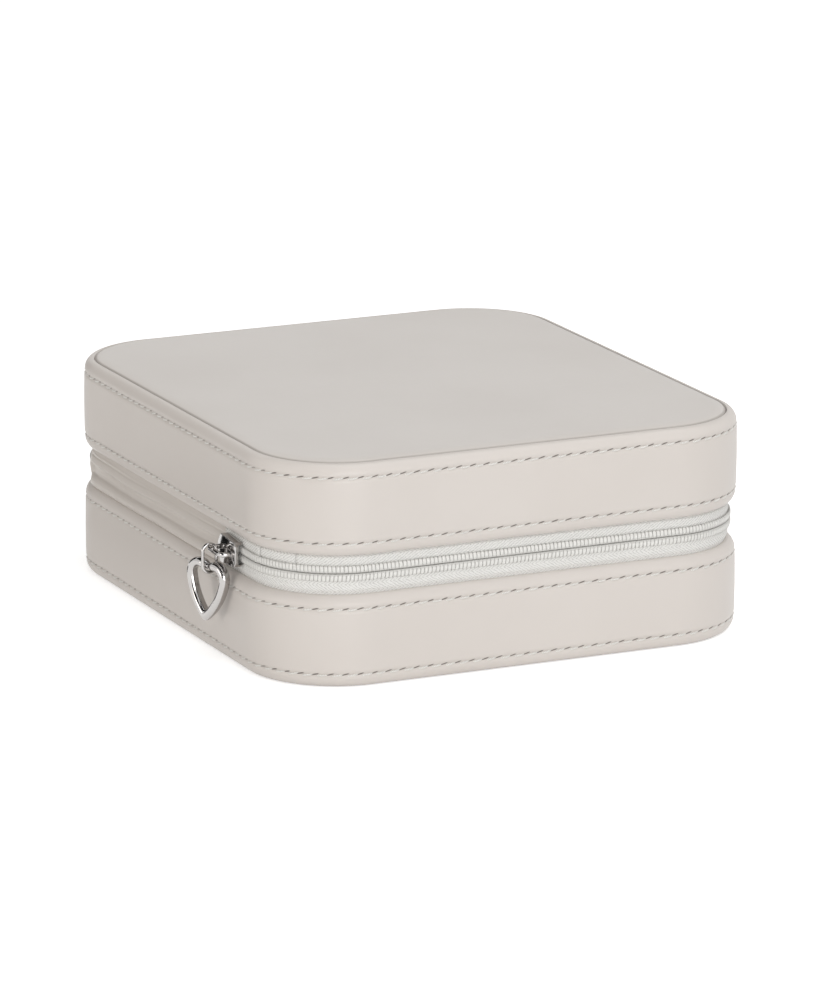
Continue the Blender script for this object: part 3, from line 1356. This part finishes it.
# %% Gather the pocket
HEM_Y = 11.7
HEM_Z = 42.4
HEM_HALF = 63.0
HEM_R = 1.15
CLOTH_T = 0.35
SEAM_IN = 0.3
SLOPE_WIDE = 5.5
FOLD_TALL = 0.55
FOLD_CAP = 1.1
FADE = 11.0
WAVE_COUNT = 26


def gathers(x, seed):
    """A sum of sine waves of lengths between 3 and 9 mm, scaled to reach about 1."""
    source = np.random.default_rng(seed)
    rate = 2 * math.pi / source.uniform(3.0, 9.0, WAVE_COUNT)
    phase = source.uniform(0, 2 * math.pi, WAVE_COUNT)
    return np.sin(np.multiply.outer(x, rate) + phase).sum(axis=-1) / math.sqrt(WAVE_COUNT)


def pocket():
    """Height under the lining: a quarter ellipse from the sewn edges, less folds that fade away from the
    hem.

    The distance to the room's rounded outline sets the height. The folds' height is e to the power of minus
    the distance from the hem over 11 mm, and they are nil at the sewn edges.
    """
    y = np.linspace(HEM_Y, ROOM_HALF_D - SEAM_IN, 64)[:, None]
    half = ROOM_HALF_W - SEAM_IN - corner_reach(y)
    closer = np.sin(np.linspace(-math.pi / 2, math.pi / 2, 300))[None, :]
    x = (closer * 0.35 + np.linspace(-1, 1, 300)[None, :] * 0.65) * half
    over_x = np.maximum(np.abs(x) - (ROOM_HALF_W - ROOM_R), 0)
    over_y = np.maximum(y - (ROOM_HALF_D - ROOM_R), 0)
    in_corner = (over_x > 0) & (over_y > 0)
    straight = np.minimum(ROOM_HALF_W - np.abs(x), ROOM_HALF_D - y)
    distance = np.where(in_corner, ROOM_R - np.hypot(over_x, over_y), straight) - SEAM_IN
    share = 1 - np.clip(distance / SLOPE_WIDE, 0, 1)
    height = HEM_Z + (CEILING_Z - SEAM_IN - HEM_Z) * (1 - np.sqrt(1 - share**2))
    fade = np.exp(-(y - HEM_Y) / FADE) + 0.16
    drawn = gathers(x + 0.06 * (y - HEM_Y) * np.sin(x / 7.0), 5)
    folds = FOLD_TALL * drawn * fade * np.clip(distance / 2.5, 0, 1)
    points = joined(x, y, height + np.clip(folds, -FOLD_CAP, FOLD_CAP))
    piece = grid_piece("gathered_pocket", points)
    wall = piece.modifiers.new("cloth thickness", "SOLIDIFY")
    wall.thickness = CLOTH_T * MM
    wall.offset = 0.0
    across = np.linalg.norm(np.diff(points, axis=1), axis=-1).sum(axis=1)
    steps = np.linalg.norm(np.diff(points, axis=0), axis=-1).sum(axis=0)
    doubled = np.cross(points[1:, 1:] - points[:-1, :-1], points[1:, :-1] - points[:-1, 1:])
    area = float(np.linalg.norm(doubled, axis=-1).sum() / 2)
    print(f"pocket: longest row {across.max():.1f} mm, {steps.max():.1f} mm deep, {area:.0f} square mm")
    return piece


def hem():
    """A casing round elastic: a tube whose radius and height wave with the pocket's gathers."""
    x = np.linspace(-HEM_HALF, HEM_HALF, 420)
    turn = full_turn(16)[None, :]
    wave = gathers(x, 5)[:, None]
    narrowed = np.minimum(1, np.sqrt((HEM_HALF + 0.02 - np.abs(x)) / 0.9))[:, None]
    radius = (HEM_R + 0.16 * gathers(x, 8)[:, None]) * narrowed
    ripple = radius * (1 + 0.10 * np.sin(3 * turn + 2.2 * wave))
    y = HEM_Y + ripple * np.cos(turn)
    z = HEM_Z + 0.18 * wave + ripple * np.sin(turn)
    return grid_piece("pocket_elastic_hem", joined(x[:, None], y, z), close_columns=True)


def closed_ends(piece):
    """Fills the open ends of a tube with one face each."""
    work = bmesh.new()
    work.from_mesh(piece.data)
    bmesh.ops.holes_fill(work, edges=[edge for edge in work.edges if edge.is_boundary], sides=64)
    bmesh.ops.recalc_face_normals(work, faces=work.faces)
    work.to_mesh(piece.data)
    work.free()
    return piece


pocket_piece = finish_piece(pocket(), "lid", SATEEN, ["pocket_cloth"])
hem_piece = finish_piece(closed_ends(hem()), "lid", SATEEN, ["pocket_hem"])

# %% [markdown]
# ## Necklace keepers
# Three leather tabs fold on a sewn strip and snap to studs in the lid, so that chains hang from them without
# tangling. A tab is two layers glued and stitched round the edge, a little thicker in the middle.

# %% Cut and stitch the tabs
TAB_W = 10.0
TAB_L = 22.0
TAB_T = 1.1
TAB_PITCH = 30.0
TAB_STRAIGHT = TAB_L - TAB_W / 2
FOLD_Y = -45.1
FOLD_Z = 47.0
CAP_TOP = FOLD_Z - TAB_T / 2
FOLD_R = 0.9
SNAP_Y = -27.9
BAR_HALF = 40.0
BAR_WIDE = 4.0
BAR_THICK = 0.4
BAR_END = 0.6
BAR_Z_MIDDLE = 48.6
BAR_FACE = 48.22
SMALL_HALF = 0.72
SMALL_BEAD = {"radius": 0.16, "rise": 0.13, "dip": 0.08}
PAD_WIDE, PAD_THICK = squared_circle(full_turn(28), 5.0)


def tab(number):
    """The section along the strap. It narrows round the tip as a circle does, and thickens over the fold."""
    middle_x = (number - 2) * TAB_PITCH
    at_fold = [-FOLD_R, -FOLD_R + 0.1, -0.7, -0.45, 0.0, 0.5, 0.9, 1.3, 1.8]
    round_y = TAB_STRAIGHT + TAB_W / 2 * np.sin(np.linspace(0, math.pi / 2, 15))
    along = np.concatenate([at_fold, np.linspace(2.6, 16.2, 18), round_y])
    past = np.maximum(along - TAB_STRAIGHT, 0) / (TAB_W / 2)
    half = TAB_W / 2 * np.sqrt(np.clip(1 - past**2, 0, 1))
    swelled = np.sqrt(np.clip(1 - (along / FOLD_R) ** 2, 0, 1))
    thick = np.maximum(TAB_T / 2 * np.clip((along + FOLD_R) / 0.3, 0, 1), 0)
    thick = np.maximum(thick * (along > 0), (FOLD_R - 0.02) * swelled)
    thick[along > 0] = np.maximum(TAB_T / 2, thick[along > 0])
    edge = np.clip(half / 1.2, 0, 1)
    x = middle_x + half[:, None] * PAD_WIDE[None, :]
    z = FOLD_Z + (thick * np.sqrt(edge))[:, None] * PAD_THICK[None, :]
    points = joined(x, FOLD_Y + along[:, None], z)
    return merged(grid_piece(f"leather_tab_{number}", points, close_columns=True))


def small_stitches(name, middle, along, half):
    """Beads of a thinner thread on a surface that faces down."""
    out = np.tile([0.0, 0.0, -1.0], (len(middle), 1))
    return bead_piece(name, beads(middle, along, out, half, np.zeros(len(middle)), **SMALL_BEAD), half)


def tab_stitches(number):
    """Small beads under the tab, 1.1 mm inside its edge: up one side, round the tip and down the other."""
    middle_x = (number - 2) * TAB_PITCH
    inner = TAB_W / 2 - 1.1
    straight = np.arange(2.0, TAB_STRAIGHT, 1.9)
    arc = np.linspace(0, math.pi, 8)[1:-1]
    side = np.full(len(straight), inner)
    quarter = np.full(len(straight), math.pi / 2)
    x = np.concatenate([side, inner * np.cos(arc), -side])
    y = np.concatenate([straight, TAB_STRAIGHT + inner * np.sin(arc), straight[::-1]])
    heading = np.concatenate([quarter, arc + math.pi / 2, -quarter])
    middle = joined(middle_x + x, FOLD_Y + y, CAP_TOP)
    return small_stitches(
        f"tab_stitches_{number}", middle, joined(np.cos(heading), np.sin(heading), 0.0), SMALL_HALF
    )


def turned_ring(name, middle, radii, heights):
    """A profile of radii and heights turned round an upright line. Its first and last radius are nil."""
    turn = full_turn(48)
    radii = np.array(radii)[:, None]
    x = middle[0] + radii * np.cos(turn)
    y = middle[1] + radii * np.sin(turn)
    return merged(grid_piece(name, joined(x, y, np.array(heights)[:, None]), close_columns=True))


CAP_RADII = [0, 1.2, 2.2, 2.75, 2.95, 3.1, 3.4, 3.65, 3.78, 3.8, 3.72, 3.5, 2.2, 2.1, 1.75, 1.7, 0]
CAP_DROPS = [1.3, 1.27, 1.18, 1.06, 0.98, 1.0, 1.02, 0.9, 0.66, 0.4, 0.15, 0.02, 0.0, 0.02, 0.3, 0.78, 0.8]
for number in range(1, 4):
    body = f"tab_{number}"
    finish_piece(tab(number), body, TAB_LEATHER, [f"necklace_tab_{number}"])
    finish_piece(tab_stitches(number), body, THREAD)
    middle = ((number - 2) * TAB_PITCH, SNAP_Y)
    cap = turned_ring(f"domed_cap_{number}", middle, CAP_RADII, CAP_TOP - np.array(CAP_DROPS))
    finish_piece(cap, body, NICKEL, [f"snap_cap_{number}"])

# %% Sew the strip that the tabs fold on
def sewn_bar():
    """The same section carried along the strip and drawn in at both ends."""
    x = np.concatenate([[0, 0.02, 0.1, 0.25, 0.5], np.linspace(1.2, BAR_HALF, 30)]) - BAR_HALF
    x = np.concatenate([x, -x[-2::-1]])
    near = np.clip((BAR_HALF - np.abs(x)) / BAR_END, 0, 1)
    scale = np.sqrt(1 - (1 - near) ** 2)[:, None]
    wide = (BAR_WIDE - BAR_END + BAR_END * scale) * PAD_WIDE
    points = joined(x[:, None], FOLD_Y + wide * (scale > 0), BAR_Z_MIDDLE + BAR_THICK * scale * PAD_THICK)
    return merged(grid_piece("sewn_strip", points, close_columns=True))


def strip_stitches():
    """Two rows of beads, 1 mm inside the strip's long edges."""
    x = np.arange(-BAR_HALF + 1.5, BAR_HALF - 1.0, 2.0)
    x = np.concatenate([x, x])
    y = FOLD_Y + np.repeat([-3.0, 3.0], len(x) // 2)
    along = np.tile([1.0, 0.0, 0.0], (len(x), 1))
    return small_stitches("strip_stitches", joined(x, y, BAR_FACE), along, 0.75)


finish_piece(sewn_bar(), "lid", TAB_LEATHER, ["necklace_bar"])
finish_piece(strip_stitches(), "lid", THREAD)

# %% [markdown]
# ## Camera and light
# The camera stands low beside the near corner, far away with a long lens, so that the case is drawn almost
# without perspective. The light is a plain pale studio: a big soft lamp above, a stronger one beside the
# wide face, a weak one on the hinge side, and an even world. Dark cards that only glossy surfaces show give
# the metal something to mirror. The floor is white to the camera but still takes the case's soft shadow.

# %% Set the camera
AZIMUTH = math.radians(244.995)
ELEVATION = math.radians(14.591)
DISTANCE = 1581.2
AIM = np.array([-2.245, 0.0, 24.36])
ROLL = math.radians(0.17)
LENS = 234.0


def set_camera():
    """A camera whose own axes are built from the two angles, turned by a small roll about its line of sight.
    """
    level = math.cos(ELEVATION)
    back = np.array([math.sin(AZIMUTH) * level, -math.cos(AZIMUTH) * level, math.sin(ELEVATION)])
    right = np.array([math.cos(AZIMUTH), math.sin(AZIMUTH), 0.0])
    up = np.cross(back, right)
    right, up = (
        right * math.cos(ROLL) + up * math.sin(ROLL),
        up * math.cos(ROLL) - right * math.sin(ROLL),
    )
    data = bpy.data.cameras.new("camera")
    data.sensor_width = 36.0
    data.lens = LENS
    data.clip_end = 20.0
    camera = bpy.data.objects.new("camera", data)
    ROOT_COLLECTION.objects.link(camera)
    place = (AIM + back * DISTANCE) * MM
    rows = [[right[i], up[i], back[i], place[i]] for i in range(3)] + [[0, 0, 0, 1]]
    camera.matrix_world = Matrix(rows)
    bpy.context.scene.camera = camera


set_camera()

# %% Light the studio
LIT_POINT = (0.0, 0.0, 0.03)


def soft_lamp(name, place, size, power, colour):
    """A rectangular area lamp that faces the case's middle."""
    data = bpy.data.lights.new(name, "AREA")
    data.shape = "RECTANGLE"
    data.size, data.size_y = size
    data.energy = power
    data.color = colour
    lamp = bpy.data.objects.new(name, data)
    lamp.location = place
    lamp.rotation_euler = (Vector(LIT_POINT) - Vector(place)).to_track_quat("-Z", "Y").to_euler()
    ROOT_COLLECTION.objects.link(lamp)


def seen_rays(tree):
    """1 for what the camera sees, also in a mirror or through glass, and 0 for what only lights."""
    seen = add(tree, "ShaderNodeLightPath").outputs
    shown = maths(tree, "MAXIMUM", seen["Is Camera Ray"], seen["Is Transmission Ray"])
    return maths(tree, "MAXIMUM", shown, seen["Is Glossy Ray"])


def studio():
    """A pale world that is plain white to the camera, and three lamps."""
    world = bpy.data.worlds.new("studio")
    bpy.context.scene.world = world
    world.use_nodes = True
    tree = world.node_tree
    tree.nodes.clear()
    lit = add(tree, "ShaderNodeBackground", {"Color": (1.0, 0.985, 0.965, 1.0), "Strength": 0.47})
    white = add(tree, "ShaderNodeBackground", {"Color": (1.0, 1.0, 1.0, 1.0), "Strength": 1.0})
    mixed = add(tree, "ShaderNodeMixShader", {0: seen_rays(tree), 1: lit.outputs[0], 2: white.outputs[0]})
    add(tree, "ShaderNodeOutputWorld", {0: mixed.outputs[0]})
    bpy.context.scene.view_settings.view_transform = "Standard"
    soft_lamp("top light", (-0.25, -0.20, 1.0), (0.9, 0.9), 4.6, (0.98, 0.99, 1.0))
    soft_lamp("wide face light", (-1.35, 0.22, 0.26), (0.8, 0.5), 6.5, (0.985, 0.987, 0.995))
    soft_lamp("hinge side light", (-0.2, 1.2, 0.14), (0.6, 0.4), 2.3, (1.0, 0.955, 0.90))


def studio_sheet(name, corners, material):
    """A flat sheet that belongs to the studio, from four corners in metres."""
    sheet = new_piece(name, np.array(corners) / MM, np.array([[0, 1, 2, 3]]), smooth=False)
    PIECES.pop(name)
    sheet.data.materials.append(material)
    return sheet


CARD_BLACK = (0.02, 0.02, 0.02, 1.0)
CARD = new_material("black card", Roughness=0.9, Specular_IOR_Level=0.0, Base_Color=CARD_BLACK)[0]


def dark_card(name, corners):
    """A dark sheet that only polished surfaces show. It takes no light from the rest."""
    card = studio_sheet(name, corners, CARD)
    for ray in ("camera", "diffuse", "shadow", "transmission"):
        setattr(card, "visible_" + ray, False)


FLOOR_HALF = 3.0
FLOOR_LOW = -0.00005


def white_floor():
    """A plane that looks white to the camera and keeps the shadow that falls on it."""
    material, tree, shader = new_material(
        "pale floor", Roughness=0.6, Specular_IOR_Level=0.15, Base_Color=(0.86, 0.86, 0.86, 1.0)
    )
    glow = maths(tree, "MULTIPLY", seen_rays(tree), 0.55)
    feed(tree, shader, {"Emission Color": (1.0, 1.0, 1.0, 1.0), "Emission Strength": glow})
    corners = [(-1, -1), (1, -1), (1, 1), (-1, 1)]
    studio_sheet("floor", [(FLOOR_HALF * x, FLOOR_HALF * y, FLOOR_LOW) for x, y in corners], material)


studio()
white_floor()
dark_card("card_above", [(-1.4, -1.4, 1.3), (1.4, -1.4, 1.3), (1.4, 1.4, 1.3), (-1.4, 1.4, 1.3)])
dark_card("card_behind", [(-2.0, 0.6, 0.1), (-0.7, 2.0, 0.1), (-0.7, 2.0, 1.2), (-2.0, 0.6, 1.2)])
dark_card("card_aside", [(0.88, 0.0, 0.0), (0.7, 0.65, 0.0), (0.7, 0.65, 0.6), (0.88, 0.0, 0.6)])
dark_card("card_low", [(0.03, 0.080, 0.001), (0.12, 0.080, 0.001), (0.12, 0.15, 0.001), (0.03, 0.15, 0.001)])

# %% [markdown]
# ## Finishes for the carried-over parts
# The boards, the foam, the zip's top stops and the snaps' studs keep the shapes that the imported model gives.
# Each gets the material of the real thing, so that nothing is left plain when the lid opens.

# %% Give the remaining nodes their materials
NODE_FINISH = {
    "base_wall_core": GREYBOARD,
    "base_rim_collar": RIM_BOARD,
    "base_floor_board": GREYBOARD,
    "lid_wall_core": GREYBOARD,
    "lid_rim_collar": RIM_BOARD,
    "lid_top_board": GREYBOARD,
    "lid_foam_pad": FOAM,
    "zip_top_stops": NICKEL,
}
for number in range(1, 4):
    NODE_FINISH[f"snap_stud_{number}"] = NICKEL


def dress_nodes():
    """Puts each material into the node's first slot."""
    for name, material in NODE_FINISH.items():
        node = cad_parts[name]
        if node.material_slots:
            for place in node.material_slots:
                place.material = material
        else:
            node.data.materials.append(material)


dress_nodes()
print("dressed", len(NODE_FINISH), "nodes of the model")
